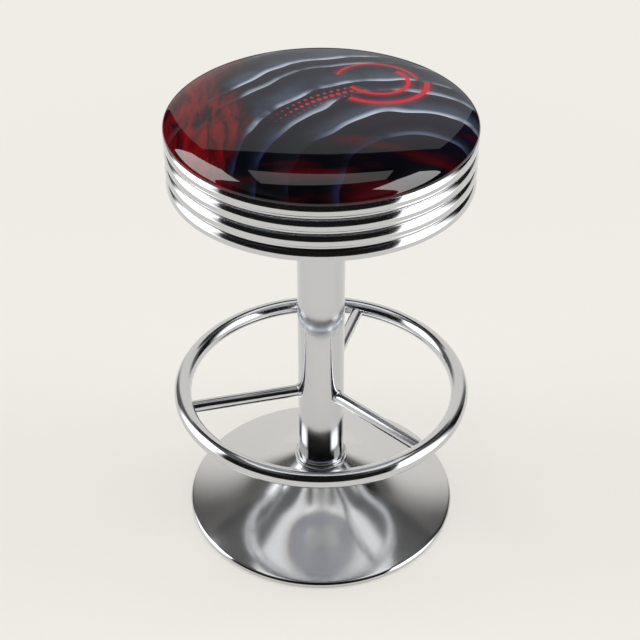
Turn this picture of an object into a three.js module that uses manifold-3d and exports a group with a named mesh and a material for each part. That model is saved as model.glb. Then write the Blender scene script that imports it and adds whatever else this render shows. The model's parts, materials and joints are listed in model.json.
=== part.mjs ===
// Diner counter stool: an upholstered round seat in a ribbed chrome band, turning on a ball
// swivel above a chrome column, with a welded foot ring and a weighted trumpet base.
// Units are millimetres. +Z is up, and the origin is the middle of the floor contact.
import * as THREE from "three";
import { mergeVertices } from "three/addons/utils/BufferGeometryUtils.js";
import Module from "manifold-3d";

const wasm = await Module();
wasm.setup();

// Driving dimensions of the whole stool.
const overallHeight = 610;
const seatDiameter = 365.2;
const baseDiameter = 360;
const columnDiameter = 60;
const footRingDiameter = 362;
const footRingHeight = 193;

// Clearances, and the overrun that every cut shares.
const seatGap = 0.3;
const runningGap = 0.6;
const cutOverrun = 2;

// Base: a spun shell over a cast disc, standing on a rubber ring.
const baseSheet = 1.5;
const rimHeight = 3.5;
const rimRoll = 5;
const rimStartDegrees = 68;
const rimTurnDegrees = 30;
const neckHeight = 71.5;
const neckSwell = 5;
const skirtDegrees = 19;
const skirtDome = 1;
const skirtDomePower = 8;
const bendDiameter = 180;
const bendSoftness = 9;
const ballastInset = 25;
const ballastBossDiameter = 104;
const ballastBossHeight = 24;
const ballastPocketDiameter = 44;
const ballastPocketDepth = 10.7;
const floorRingHeight = 3;
const floorRingWidth = 34;

// Collar where the column leaves the base.
const collarHeight = 9;
const collarLip = 0.8;
const collarStep = 3;
const collarSpigot = 10;

// Column tube, its threaded plug and the bolt that clamps the base to it.
const columnWall = 2;
const plugHeight = 16;
const clampBoltDiameter = 12;
const clampBoltLength = 34;
const clampHeadAcross = 19;
const clampHeadHeight = 6.5;
const clampWasherDiameter = 36;
const clampWasherHeight = 2.5;

// Foot ring and the spokes that carry it, welded by eye and so not quite evenly spaced.
const footRingTube = 22.2;
const spokeDiameter = 16;
const spokeAzimuthsDegrees = [73, 194, 316];

// Swivel between the column and the seat.
const swivelHeight = 26.3;
const swivelSheet = 2.5;
const lowerPlateWidth = 110;
const upperPlateWidth = 150;
const plateCorner = 9;
const columnFlangeThickness = 5;
const ballDiameter = 8;
const ballCount = 12;
const ballCircleDiameter = 80;
const raceLand = 8;
const raceSlope = 5;
const raceFlatGap = 4.4;
const cageThickness = 1.6;
const cageWidth = 12;
const pinDiameter = 10;
const pinHeadDiameter = 18;
const pinHeadHeight = 2.6;

// Bolts of the swivel: the lower ones into nuts, the upper ones into tee nuts in the board.
const boltDiameter = 6;
const boltHeadAcross = 10;
const boltHeadHeight = 4;
const boltEdgeDistance = 11;
const upperBoltEdgeDistance = 10;
const nutHeight = 5;
const boltTailPastNut = 2;
const teeNutFlangeDiameter = 19;
const teeNutFlangeThickness = 1.5;
const teeNutBarrelWall = 1.2;
const teeNutBarrelLength = 9;

// Seat: cover, foam, plywood board and the ribbed band.
const crownRise = 27;
const crownFullness = 2.4;
const crownRoundness = 0.49;
const coverThickness = 1.2;
const coverUnderTurn = 24;
const coverOverhang = 3;
const coverRoll = 2.2;
const boardThickness = 15;
const beadCount = 4;
const beadPitch = 19;
const beadRadius = 12.8;
const bandSheet = 1.2;
const bandTopTurnDegrees = 37;
const bandBottomTurnDegrees = 20;
const bandFlangeWidth = 21;
const bandScrewCount = 4;
const bandScrewDiameter = 4;
const bandScrewLength = 13;
const bandScrewHeadDiameter = 9;
const bandScrewHeadHeight = 2.6;
const bandScrewEdgeDistance = 7;

// Facets of the round forms.
const wideFacets = 44;
const columnFacets = 32;
const tubeFacets = 12;
const ringFacets = 56;
const innerFacets = 24;
const smallFacets = 8;
const crownSteps = 7;
const flareSteps = 14;
const ballastSteps = 6;
const rimSteps = 4;
const beadSteps = 4;

// Finishes.
const chromeFinish = { color: 0xc8cacc, roughness: 0.08, metalness: 1 };
const satinChromeFinish = { color: 0xb4b5b6, roughness: 0.2, metalness: 1 };
const zincFinish = { color: 0xa9aaa4, roughness: 0.4, metalness: 0.9 };
const blackSteelFinish = { color: 0x24262a, roughness: 0.5, metalness: 0.4 };
const ironFinish = { color: 0x35363a, roughness: 0.8, metalness: 0.3 };
const rubberFinish = { color: 0x17181a, roughness: 0.85, metalness: 0 };
const vinylFinish = { color: 0x3c4650, roughness: 0.12, metalness: 0 };
const foamFinish = { color: 0xd9cfa8, roughness: 0.95, metalness: 0 };
const plywoodFinish = { color: 0xb58f62, roughness: 0.75, metalness: 0 };

// Radii and heights that several pieces share, from the floor up.
const seatRadius = seatDiameter / 2;
const baseRadius = baseDiameter / 2;
const columnRadius = columnDiameter / 2;
const columnBore = columnRadius - columnWall;
const footRingRadius = footRingDiameter / 2;
const ballastBottom = floorRingHeight + seatGap;
const rimRadius = baseRadius - rimRoll;
const brimRadius = rimRadius + rimRoll * Math.cos(radians(rimStartDegrees));
const brimHeight = rimHeight + rimRoll * Math.sin(radians(rimStartDegrees));
const ballastRadius = baseRadius - ballastInset;
const neckRadius = columnRadius + neckSwell;
const columnFoot = ballastBossHeight + seatGap;
const pocketTop = ballastBottom + ballastPocketDepth;

// Heights of the seat, from the crown down.
const padRimHeight = overallHeight - crownRise;
const bandTop = padRimHeight - coverOverhang;
const topBeadHeight = bandTop - beadRadius * Math.sin(radians(bandTopTurnDegrees));
const bottomBeadHeight = topBeadHeight - (beadCount - 1) * beadPitch;
const bandBottom = bottomBeadHeight - beadRadius * Math.sin(radians(bandBottomTurnDegrees));
const beadCentreRadius = seatRadius - beadRadius;
const beadHalfAngle = Math.asin(beadPitch / (2 * beadRadius));
const grooveRadius = beadCentreRadius + beadRadius * Math.cos(beadHalfAngle);
const coverBottom = bandBottom + bandSheet + seatGap;
const coverSideRadius = grooveRadius - bandSheet - seatGap;
const boardBottom = coverBottom + coverThickness + seatGap;
const boardTop = boardBottom + boardThickness;
const boardRadius = coverSideRadius - coverThickness - seatGap;
const bandScrewCircle = boardRadius - bandScrewEdgeDistance;

// Heights of the swivel and of the column's top.
const upperPlateTop = boardBottom - seatGap;
const lowerPlateBottom = upperPlateTop - swivelHeight;
const raceMiddle = lowerPlateBottom + swivelHeight / 2;
const columnFlangeTop = lowerPlateBottom - seatGap;
const columnFlangeBottom = columnFlangeTop - columnFlangeThickness;
const columnTop = columnFlangeBottom - seatGap;
const ballRadius = ballDiameter / 2;
const ballCircle = ballCircleDiameter / 2;
const lowerBoltPlace = lowerPlateWidth / 2 - boltEdgeDistance;
const upperBoltPlace = upperPlateWidth / 2 - upperBoltEdgeDistance;
const boltHoleRadius = boltDiameter / 2 + seatGap;
const teeNutBarrelRadius = boltHoleRadius + teeNutBarrelWall;

function radians(degrees) {
  return (degrees * Math.PI) / 180;
}

// The radius that keeps the flats of a faceted hole as far out as the true circle.
function circumscribed(radius, facets) {
  return radius / Math.cos(Math.PI / facets);
}

// Points of an arc in the profile plane, from one angle to another, both in radians.
function arc(centreRadius, centreHeight, radius, from, to, steps) {
  const points = [];
  for (let i = 0; i <= steps; i++) {
    const angle = from + ((to - from) * i) / steps;
    points.push([
      centreRadius + radius * Math.cos(angle),
      centreHeight + radius * Math.sin(angle),
    ]);
  }
  return points;
}

// The profile moved sideways by a distance, to the left of its direction of travel.
function offsetProfile(points, distance) {
  return points.map((point, i) => {
    const before = points[Math.max(i - 1, 0)];
    const after = points[Math.min(i + 1, points.length - 1)];
    const alongR = after[0] - before[0];
    const alongZ = after[1] - before[1];
    const length = Math.hypot(alongR, alongZ);
    return [
      point[0] - (distance * alongZ) / length,
      point[1] + (distance * alongR) / length,
    ];
  });
}

// A solid of revolution about Z. The profile is a list of [radius, height] that closes on itself.
function revolve(profile, facets) {
  const twiceArea = profile.reduce((sum, [r, z], i) => {
    const [nextR, nextZ] = profile[(i + 1) % profile.length];
    return sum + r * nextZ - nextR * z;
  }, 0);
  const ordered = twiceArea > 0 ? profile : [...profile].reverse();
  const points = [...ordered, ordered[0]].map(([r, z]) => new THREE.Vector2(r, z));
  return new THREE.LatheGeometry(points, facets).rotateX(Math.PI / 2);
}

// Points of a circle or a regular outline in the plan view.
function ringPoints(radius, facets, x = 0, y = 0) {
  const points = [];
  for (let i = 0; i < facets; i++) {
    const angle = (2 * Math.PI * i) / facets;
    points.push(new THREE.Vector2(x + radius * Math.cos(angle), y + radius * Math.sin(angle)));
  }
  return points;
}

function roundedSquare(width, corner) {
  const side = width / 2 - corner;
  const points = [];
  for (const quarter of [0, 1, 2, 3]) {
    const middle = (quarter * Math.PI) / 2 + Math.PI / 4;
    const x = side * Math.SQRT2 * Math.cos(middle);
    const y = side * Math.SQRT2 * Math.sin(middle);
    for (const turn of [-1, -1 / 3, 1 / 3, 1]) {
      const angle = middle + (turn * Math.PI) / 4;
      points.push(new THREE.Vector2(x + corner * Math.cos(angle), y + corner * Math.sin(angle)));
    }
  }
  return points;
}

function hexagon(across) {
  return ringPoints(circumscribed(across / 2, 6), 6);
}

// A flat plate with round holes, lying on a height.
function plate(outline, holes, bottom, thickness) {
  const shape = new THREE.Shape(outline);
  for (const { x, y, radius, facets = smallFacets } of holes)
    shape.holes.push(new THREE.Path(ringPoints(circumscribed(radius, facets), facets, x, y)));
  const solid = new THREE.ExtrudeGeometry(shape, { depth: thickness, bevelEnabled: false });
  return solid.translate(0, 0, bottom);
}

function disc(radius, bottom, height, facets = smallFacets) {
  return revolve([[0, bottom], [radius, bottom], [radius, bottom + height], [0, bottom + height]], facets);
}

function sleeve(bore, outer, bottom, top, facets) {
  return revolve([[bore, bottom], [outer, bottom], [outer, top], [bore, top]], facets);
}

// The four corners of a square bolt pattern, from half its spacing.
function squarePlaces(half) {
  return [-half, half].flatMap((x) => [-half, half].map((y) => ({ x, y })));
}

// Boolean helpers: a geometry becomes a closed solid and comes back as a geometry.
function toSolid(geometry) {
  const bare = geometry.clone();
  bare.deleteAttribute("normal");
  bare.deleteAttribute("uv");
  const merged = mergeVertices(bare);
  return new wasm.Manifold(
    new wasm.Mesh({
      numProp: 3,
      vertProperties: merged.attributes.position.array,
      triVerts: new Uint32Array(merged.index.array),
    }),
  );
}

function toGeometry(solid) {
  const mesh = solid.getMesh();
  const geometry = new THREE.BufferGeometry();
  geometry.setAttribute("position", new THREE.BufferAttribute(mesh.vertProperties, 3));
  geometry.setIndex(new THREE.BufferAttribute(mesh.triVerts, 1));
  geometry.computeVertexNormals();
  return geometry;
}

function join(first, ...others) {
  return toGeometry(others.reduce((solid, next) => solid.add(toSolid(next)), toSolid(first)));
}

function cut(body, ...tools) {
  return toGeometry(tools.reduce((solid, tool) => solid.subtract(toSolid(tool)), toSolid(body)));
}

// A mesh of its own for each piece, placed in the group that carries it.
function addPiece(group, name, geometry, finish, x = 0, y = 0, z = 0) {
  const piece = new THREE.Mesh(geometry, new THREE.MeshStandardMaterial(finish));
  piece.name = name;
  piece.position.set(x, y, z);
  group.add(piece);
  return piece;
}

// Rise of the neck's cone over the skirt: nothing at the brim, a soft bend, then steady.
function coneRise(radius) {
  const softened = (r) => bendSoftness * Math.log1p(Math.exp((bendDiameter / 2 - r) / bendSoftness));
  return softened(radius) - softened(brimRadius);
}

// Height of the skirt alone: a cone that bulges a little before it reaches the rim.
function skirtHeight(radius) {
  const reach = (radius - neckRadius) / (brimRadius - neckRadius);
  const fall = Math.tan(radians(skirtDegrees)) * (brimRadius - radius);
  return brimHeight + fall + skirtDome * (1 - Math.pow(reach, skirtDomePower));
}

// Height of the base's outer face, from the neck's cone through the bend to the brim.
function flareHeight(radius) {
  const coneHeight = neckHeight - skirtHeight(neckRadius);
  return skirtHeight(radius) + (coneHeight * coneRise(radius)) / coneRise(neckRadius);
}

function flareRadii(from, to, steps) {
  const radii = [];
  for (let i = 0; i <= steps; i++) radii.push(from + ((to - from) * i) / steps);
  return radii;
}

function baseShell() {
  const outer = flareRadii(neckRadius, brimRadius, flareSteps).map((r) => [r, flareHeight(r)]);
  outer.pop();
  const rimStart = radians(rimStartDegrees);
  const rimEnd = -radians(rimTurnDegrees);
  outer.push(...arc(rimRadius, rimHeight, rimRoll, rimStart, rimEnd, rimSteps));
  const inner = offsetProfile(outer, -baseSheet).reverse();
  return revolve([...outer, ...inner], wideFacets);
}

function baseBallast() {
  const bossRadius = ballastBossDiameter / 2;
  const pocketRadius = ballastPocketDiameter / 2;
  const boltHole = clampBoltDiameter / 2 + seatGap;
  const slope = flareRadii(bossRadius, ballastRadius, ballastSteps).map((r) => [
    r,
    Math.min(flareHeight(r) - 1.5 * baseSheet, ballastBossHeight),
  ]);
  const body = [
    [boltHole, ballastBossHeight],
    ...slope,
    [ballastRadius, ballastBottom],
    [pocketRadius, ballastBottom],
    [pocketRadius, pocketTop],
    [boltHole, pocketTop],
  ];
  return revolve(body, innerFacets);
}

function floorRing() {
  return sleeve(rimRadius - floorRingWidth, rimRadius, 0, floorRingHeight, wideFacets);
}

// The collar stands on the neck and its spigot centres the column in the shell.
function baseCollar() {
  const bore = columnRadius + seatGap;
  const spigotRadius = neckRadius - baseSheet - 2 * seatGap;
  const bottom = neckHeight + seatGap;
  const top = bottom + collarHeight;
  const outer = neckRadius + collarLip;
  const stepRadius = outer - collarStep;
  const ledge = bottom + collarHeight / 2;
  const round = collarHeight / 4;
  return revolve(
    [
      [bore, neckHeight - collarSpigot],
      [spigotRadius, neckHeight - collarSpigot],
      [spigotRadius, bottom],
      [outer - round / 2, bottom],
      ...arc(outer - round, ledge - round, round, 0, Math.PI / 2, 2),
      [stepRadius, ledge],
      ...arc(stepRadius - round / 2, top - round, round / 2, 0, Math.PI / 2, 1),
      [bore, top],
    ],
    columnFacets,
  );
}

function buildBase() {
  const base = new THREE.Group();
  addPiece(base, "base_shell", baseShell(), satinChromeFinish);
  addPiece(base, "base_ballast", baseBallast(), ironFinish);
  addPiece(base, "floor_ring", floorRing(), rubberFinish);
  addPiece(base, "base_collar", baseCollar(), chromeFinish);
  return base;
}

function columnTube() {
  return sleeve(columnBore, columnRadius, columnFoot, columnTop, columnFacets);
}

function columnPlug() {
  const hole = clampBoltDiameter / 2 + seatGap;
  return sleeve(hole, columnBore - seatGap, columnFoot, columnFoot + plugHeight, columnFacets);
}

function clampWasher() {
  const hole = clampBoltDiameter / 2 + seatGap;
  const top = pocketTop - seatGap;
  return sleeve(hole, clampWasherDiameter / 2, top - clampWasherHeight, top, innerFacets);
}

// A hex bolt whose head lies below the height zero and whose shank stands above it.
function hexBolt(diameter, length, headAcross, headHeight) {
  const head = plate(hexagon(headAcross), [], -headHeight, headHeight);
  return join(head, disc(diameter / 2, -headHeight / 2, length + headHeight / 2));
}

function buildColumn() {
  const column = new THREE.Group();
  addPiece(column, "column_tube", columnTube(), chromeFinish);
  addPiece(column, "column_plug", columnPlug(), blackSteelFinish);
  addPiece(column, "clamp_washer", clampWasher(), zincFinish);
  const clampBolt = hexBolt(clampBoltDiameter, clampBoltLength, clampHeadAcross, clampHeadHeight);
  addPiece(column, "clamp_bolt", clampBolt, zincFinish, 0, 0, pocketTop - 2 * seatGap - clampWasherHeight);
  return column;
}

function footRing(swell = 0) {
  const tubeRadius = footRingTube / 2 + swell;
  const section = arc(footRingRadius, footRingHeight, tubeRadius, 0, 2 * Math.PI, tubeFacets);
  section.pop();
  return revolve(section, ringFacets);
}

// A spoke along +X, with both ends shaped to the tubes that they are welded to.
function spoke(azimuth) {
  const radius = spokeDiameter / 2;
  const height = footRingHeight - footRingTube / 2 + radius;
  const inner = columnRadius - cutOverrun;
  const outer = footRingRadius;
  const rod = disc(radius, inner, outer - inner, tubeFacets).rotateY(Math.PI / 2);
  rod.translate(0, 0, height).rotateZ(radians(azimuth));
  const columnCut = disc(columnRadius + seatGap, height - footRingTube, 2 * footRingTube, columnFacets);
  return cut(rod, columnCut, footRing(seatGap));
}

function buildFootRing() {
  const footRest = new THREE.Group();
  addPiece(footRest, "foot_ring", footRing(), chromeFinish);
  spokeAzimuthsDegrees.forEach((azimuth, i) => {
    addPiece(footRest, `spoke_${i + 1}`, spoke(azimuth), chromeFinish);
  });
  return footRest;
}

// A pressed race plate: a square flange round a raised dish with the groove of the balls.
function racePlate(width, boltPlace) {
  const grooveRadius = ballRadius + 1.5 * seatGap;
  const flat = raceFlatGap / 2;
  const bottom = -swivelHeight / 2;
  const landRadius = ballCircle + raceLand;
  const footRadius = landRadius + raceSlope;
  const boreRadius = pinDiameter / 2 + runningGap;
  const topAngle = Math.asin(flat / grooveRadius);
  const underRadius = grooveRadius + swivelSheet;
  const underAngle = Math.asin((flat + swivelSheet) / underRadius);
  const topGroove = arc(ballCircle, 0, grooveRadius, -topAngle, topAngle - Math.PI, 4);
  const underGroove = arc(ballCircle, 0, underRadius, underAngle - Math.PI, -underAngle, 2);
  const dish = revolve(
    [
      [footRadius, bottom],
      [footRadius, bottom + swivelSheet],
      [landRadius, -flat],
      ...topGroove,
      [boreRadius, -flat],
      [boreRadius, -flat - swivelSheet],
      ...underGroove,
      [landRadius - swivelSheet / 2, -flat - swivelSheet],
      [footRadius - swivelSheet, bottom],
    ],
    innerFacets,
  );
  const holes = [{ x: 0, y: 0, radius: footRadius - swivelSheet, facets: innerFacets }];
  for (const { x, y } of squarePlaces(boltPlace)) holes.push({ x, y, radius: boltHoleRadius });
  return join(plate(roundedSquare(width, plateCorner), holes, bottom, swivelSheet), dish);
}

function ballCage() {
  const outline = ringPoints(ballCircle + cageWidth / 2, innerFacets);
  const holes = [{ x: 0, y: 0, radius: ballCircle - cageWidth / 2, facets: innerFacets }];
  for (let i = 0; i < ballCount; i++) {
    const angle = (2 * Math.PI * i) / ballCount;
    const radius = ballRadius + seatGap;
    holes.push({ x: ballCircle * Math.cos(angle), y: ballCircle * Math.sin(angle), radius });
  }
  return plate(outline, holes, raceMiddle - cageThickness / 2, cageThickness);
}

// The rivet that holds the two race plates together.
function swivelPin() {
  const shank = pinDiameter / 2;
  const head = pinHeadDiameter / 2;
  const lowerFace = raceMiddle - raceFlatGap / 2 - swivelSheet - seatGap;
  const upperFace = raceMiddle + raceFlatGap / 2 + swivelSheet + runningGap;
  return revolve(
    [
      [0, lowerFace - pinHeadHeight],
      [head, lowerFace - pinHeadHeight],
      [head, lowerFace],
      [shank, lowerFace],
      [shank, upperFace],
      [head, upperFace],
      [head, upperFace + pinHeadHeight],
      [0, upperFace + pinHeadHeight],
    ],
    smallFacets,
  );
}

function hexNut() {
  return plate(hexagon(boltHeadAcross), [{ x: 0, y: 0, radius: boltHoleRadius }], 0, nutHeight);
}

function buildSwivelBase() {
  const swivel = new THREE.Group();
  const holes = squarePlaces(lowerBoltPlace).map((place) => ({ ...place, radius: boltHoleRadius }));
  const outline = roundedSquare(lowerPlateWidth, plateCorner);
  const flange = plate(outline, holes, columnFlangeBottom, columnFlangeThickness);
  addPiece(swivel, "column_flange", flange, blackSteelFinish);
  const lowerPlate = racePlate(lowerPlateWidth, lowerBoltPlace);
  addPiece(swivel, "swivel_lower_plate", lowerPlate, zincFinish, 0, 0, raceMiddle);
  addPiece(swivel, "ball_cage", ballCage(), zincFinish);
  addPiece(swivel, "swivel_pin", swivelPin(), zincFinish);
  for (let i = 0; i < ballCount; i++) {
    const angle = (2 * Math.PI * i) / ballCount;
    const ball = new THREE.SphereGeometry(ballRadius, 8, 4).rotateX(Math.PI / 2);
    const x = ballCircle * Math.cos(angle);
    const y = ballCircle * Math.sin(angle);
    addPiece(swivel, `bearing_ball_${i + 1}`, ball, chromeFinish, x, y, raceMiddle);
  }
  const grip = swivelSheet + seatGap + columnFlangeThickness;
  const shank = grip + 2 * seatGap + nutHeight + boltTailPastNut;
  holes.forEach(({ x, y }, i) => {
    const bolt = hexBolt(boltDiameter, shank, boltHeadAcross, boltHeadHeight).rotateX(Math.PI);
    const headFace = lowerPlateBottom + swivelSheet + seatGap;
    addPiece(swivel, `flange_bolt_${i + 1}`, bolt, zincFinish, x, y, headFace);
    const nutBottom = columnFlangeBottom - seatGap - nutHeight;
    addPiece(swivel, `flange_nut_${i + 1}`, hexNut(), zincFinish, x, y, nutBottom);
  });
  return swivel;
}

// Outline of the upholstered pad from its under edge, up the side, over the roll to the crown,
// drawn in by an inset that makes the cover's inner face and the foam.
function padOutline(inset, bottom) {
  const side = coverSideRadius - inset;
  const widest = seatRadius - inset;
  const rollFoot = padRimHeight - coverRoll + inset;
  const rise = crownRise - inset;
  const points = [
    [side, bottom],
    [side, rollFoot - coverRoll],
    [(side + widest) / 2, rollFoot - coverRoll / 4],
    [widest, padRimHeight],
  ];
  for (let i = 1; i <= crownSteps; i++) {
    const share = Math.cos((Math.PI / 2) * (i / crownSteps));
    const height = Math.pow(1 - Math.pow(share, crownFullness), crownRoundness);
    points.push([i === crownSteps ? 0 : widest * share, padRimHeight + rise * height]);
  }
  return points;
}

function seatCover() {
  const outer = padOutline(0, coverBottom);
  const inner = padOutline(coverThickness, coverBottom + coverThickness).reverse();
  const underTurn = coverSideRadius - coverUnderTurn;
  const shell = revolve(
    [...outer, ...inner, [underTurn, coverBottom + coverThickness], [underTurn, coverBottom]],
    wideFacets,
  );
  const hole = circumscribed(bandScrewDiameter / 2 + seatGap, smallFacets);
  const tools = bandScrewPlaces().map(({ x, y }) =>
    disc(hole, coverBottom - cutOverrun, coverThickness + cutOverrun + seatGap).translate(x, y, 0),
  );
  return cut(shell, ...tools);
}

function seatFoam() {
  const bottom = boardTop + seatGap;
  const outline = padOutline(coverThickness + seatGap, bottom);
  return revolve([[0, bottom], ...outline], wideFacets);
}

function bandScrewPlaces() {
  const places = [];
  for (let i = 0; i < bandScrewCount; i++) {
    const angle = (2 * Math.PI * i) / bandScrewCount;
    places.push({ x: bandScrewCircle * Math.cos(angle), y: bandScrewCircle * Math.sin(angle) });
  }
  return places;
}

// The board has a recessed hole for each tee nut and a blind hole for each band screw.
function seatBoard() {
  const board = disc(boardRadius, boardBottom, boardThickness, wideFacets);
  const recess = teeNutFlangeThickness + seatGap;
  const recessRadius = circumscribed(teeNutFlangeDiameter / 2 + seatGap, smallFacets);
  const barrelHole = circumscribed(teeNutBarrelRadius + seatGap, smallFacets);
  const screwHole = circumscribed(bandScrewDiameter / 2 + seatGap, smallFacets);
  const under = boardBottom - cutOverrun;
  const screwDepth = bandBottom + bandScrewLength + seatGap - under;
  const tools = [];
  for (const { x, y } of squarePlaces(upperBoltPlace)) {
    tools.push(disc(barrelHole, under, boardThickness + 2 * cutOverrun).translate(x, y, 0));
    tools.push(disc(recessRadius, boardTop - recess, recess + cutOverrun).translate(x, y, 0));
  }
  for (const { x, y } of bandScrewPlaces())
    tools.push(disc(screwHole, under, screwDepth).translate(x, y, 0));
  return cut(board, ...tools);
}

// The band is one rolled sheet: stacked round beads, turned in at the top and flanged below.
function chromeBand() {
  const outer = [];
  for (let i = 0; i < beadCount; i++) {
    const height = bottomBeadHeight + i * beadPitch;
    const from = i === 0 ? -radians(bandBottomTurnDegrees) : -beadHalfAngle;
    const to = i === beadCount - 1 ? radians(bandTopTurnDegrees) : beadHalfAngle;
    const bead = arc(beadCentreRadius, height, beadRadius, from, to, beadSteps);
    outer.push(...(i === 0 ? bead : bead.slice(1)));
  }
  const inner = offsetProfile(outer, bandSheet).filter((point, i) => i % 2 === 0).reverse();
  inner.pop();
  const flangeInner = beadCentreRadius + beadRadius - bandFlangeWidth;
  const flangeTop = bandBottom + bandSheet;
  const band = revolve(
    [...outer, ...inner, [coverSideRadius + seatGap, flangeTop], [flangeInner, flangeTop],
      [flangeInner, bandBottom]],
    wideFacets,
  );
  const hole = circumscribed(bandScrewDiameter / 2 + seatGap, smallFacets);
  const tools = bandScrewPlaces().map(({ x, y }) =>
    disc(hole, bandBottom - cutOverrun, bandSheet + 2 * cutOverrun).translate(x, y, 0),
  );
  return cut(band, ...tools);
}

function bandScrew() {
  const head = bandScrewHeadDiameter / 2;
  const shank = bandScrewDiameter / 2;
  const tip = bandScrewLength;
  return revolve(
    [
      [0, -bandScrewHeadHeight],
      [head / 2, -bandScrewHeadHeight],
      [head, -bandScrewHeadHeight / 3],
      [head, -seatGap],
      [shank, -seatGap],
      [shank, tip - bandScrewDiameter],
      [0, tip],
    ],
    smallFacets,
  );
}

function teeNut() {
  const bore = circumscribed(boltHoleRadius, smallFacets);
  const barrel = circumscribed(teeNutBarrelRadius, smallFacets);
  const flange = teeNutFlangeDiameter / 2;
  return revolve(
    [
      [bore, -teeNutBarrelLength],
      [barrel, -teeNutBarrelLength],
      [barrel, -teeNutFlangeThickness],
      [flange, -teeNutFlangeThickness],
      [flange, 0],
      [bore, 0],
    ],
    smallFacets,
  );
}

function buildSeat() {
  const seat = new THREE.Group();
  addPiece(seat, "seat_cover", seatCover(), vinylFinish);
  addPiece(seat, "seat_foam", seatFoam(), foamFinish);
  addPiece(seat, "seat_board", seatBoard(), plywoodFinish);
  addPiece(seat, "chrome_band", chromeBand(), chromeFinish);
  const upperPlate = racePlate(upperPlateWidth, upperBoltPlace).rotateX(Math.PI);
  addPiece(seat, "swivel_upper_plate", upperPlate, zincFinish, 0, 0, raceMiddle);
  bandScrewPlaces().forEach(({ x, y }, i) => {
    addPiece(seat, `band_screw_${i + 1}`, bandScrew(), chromeFinish, x, y, bandBottom);
  });
  const headFace = upperPlateTop - swivelSheet - seatGap;
  const boltLength = boardTop - seatGap - teeNutFlangeThickness - headFace;
  squarePlaces(upperBoltPlace).forEach(({ x, y }, i) => {
    const bolt = hexBolt(boltDiameter, boltLength, boltHeadAcross, boltHeadHeight);
    addPiece(seat, `seat_bolt_${i + 1}`, bolt, zincFinish, x, y, headFace);
    addPiece(seat, `tee_nut_${i + 1}`, teeNut(), zincFinish, x, y, boardTop);
  });
  return seat;
}

const stool = new THREE.Group();
stool.name = "diner_counter_stool";
stool.add(buildBase(), buildColumn(), buildFootRing(), buildSwivelBase(), buildSeat());

export default stool;
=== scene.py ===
"""Dresses the diner counter stool: a padded, printed seat in a ribbed chrome band, turning on a
ball swivel above a chrome column with a welded foot ring, on a trumpet base. Lengths are in
metres."""
import json
import math

import bmesh
import bpy
from bpy.props import FloatProperty, FloatVectorProperty, IntProperty, PointerProperty
from mathutils import Matrix, Vector


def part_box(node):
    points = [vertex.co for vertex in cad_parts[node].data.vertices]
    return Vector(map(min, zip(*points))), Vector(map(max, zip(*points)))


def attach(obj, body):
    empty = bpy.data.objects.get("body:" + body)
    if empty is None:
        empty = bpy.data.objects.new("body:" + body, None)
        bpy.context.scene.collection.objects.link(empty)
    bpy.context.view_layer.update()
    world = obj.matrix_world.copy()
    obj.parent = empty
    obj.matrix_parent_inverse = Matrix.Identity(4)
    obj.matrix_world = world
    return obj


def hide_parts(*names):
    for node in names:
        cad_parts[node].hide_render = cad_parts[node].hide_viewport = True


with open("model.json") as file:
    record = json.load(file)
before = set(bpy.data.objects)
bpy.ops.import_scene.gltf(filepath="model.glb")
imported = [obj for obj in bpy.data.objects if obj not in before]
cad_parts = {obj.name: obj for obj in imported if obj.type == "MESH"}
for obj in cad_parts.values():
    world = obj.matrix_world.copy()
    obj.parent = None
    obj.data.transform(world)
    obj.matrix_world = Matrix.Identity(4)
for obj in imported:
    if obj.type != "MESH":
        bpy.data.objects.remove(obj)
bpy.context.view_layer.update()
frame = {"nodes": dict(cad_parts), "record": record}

bl_info = {
    "name": "Diner Counter Stool",
    "version": (1, 0, 0),
    "blender": (4, 5, 0),
    "location": "3D View > Sidebar > Stool",
    "description": "Builds a chrome counter stool with a printed seat on its packed frame",
    "category": "Object",
}

FINISH_PREFIX = "stool_"


def round_node(node):
    """The outer radius, the lowest and the highest point of a round node of the frame."""
    low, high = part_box(node)
    return high.x, low.z, high.z


BAND_RADIUS, BAND_BOTTOM, _ = round_node("chrome_band")
COVER_RADIUS, COVER_BOTTOM, COVER_TOP = round_node("seat_cover")
BOARD_RADIUS, BOARD_BOTTOM, BOARD_TOP = round_node("seat_board")
COLUMN_RADIUS, COLUMN_FOOT, COLUMN_TOP = round_node("column_tube")
RING_REACH, RING_LOW, RING_HIGH = round_node("foot_ring")
BASE_RADIUS, _, BASE_TOP = round_node("base_shell")
_, COLLAR_LOW, COLLAR_TOP = round_node("base_collar")
FLANGE_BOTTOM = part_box("column_flange")[0].z
# Between pieces that touch in the real stool.
TOUCH_GAP = 0.0003


def numbered(name, last=4):
    """The names of like nodes, which end in a number."""
    return [f"{name}_{i}" for i in range(1, last + 1)]


# Nodes that keep their own form and only have their edges rounded.
ROUNDED_NODES = (
    "floor_ring", "base_ballast", "column_plug", "clamp_washer", "clamp_bolt", "column_flange",
    "swivel_lower_plate", "ball_cage", "swivel_pin", "swivel_upper_plate",
    *numbered("flange_nut"), *numbered("tee_nut"),
)


def length(name, default, description):
    return FloatProperty(name=name, description=description, default=default, unit="LENGTH",
                         subtype="DISTANCE", precision=5)


def angle(name, degrees, description):
    return FloatProperty(name=name, description=description, default=math.radians(degrees),
                         unit="ROTATION", subtype="ANGLE")


def share(name, default, description):
    return FloatProperty(name=name, description=description, default=default, min=0.0,
                         soft_max=1.0, subtype="FACTOR")


def number(name, default, description):
    return FloatProperty(name=name, description=description, default=default)


def count(name, default, description):
    return IntProperty(name=name, description=description, default=default, min=1)


def colour(name, default, description):
    return FloatVectorProperty(name=name, description=description, default=default, size=3,
                               min=0.0, max=1.0, subtype="COLOR")


def place(name, default, description):
    return FloatVectorProperty(name=name, description=description, default=default, size=3,
                               subtype="TRANSLATION", unit="LENGTH")


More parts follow.
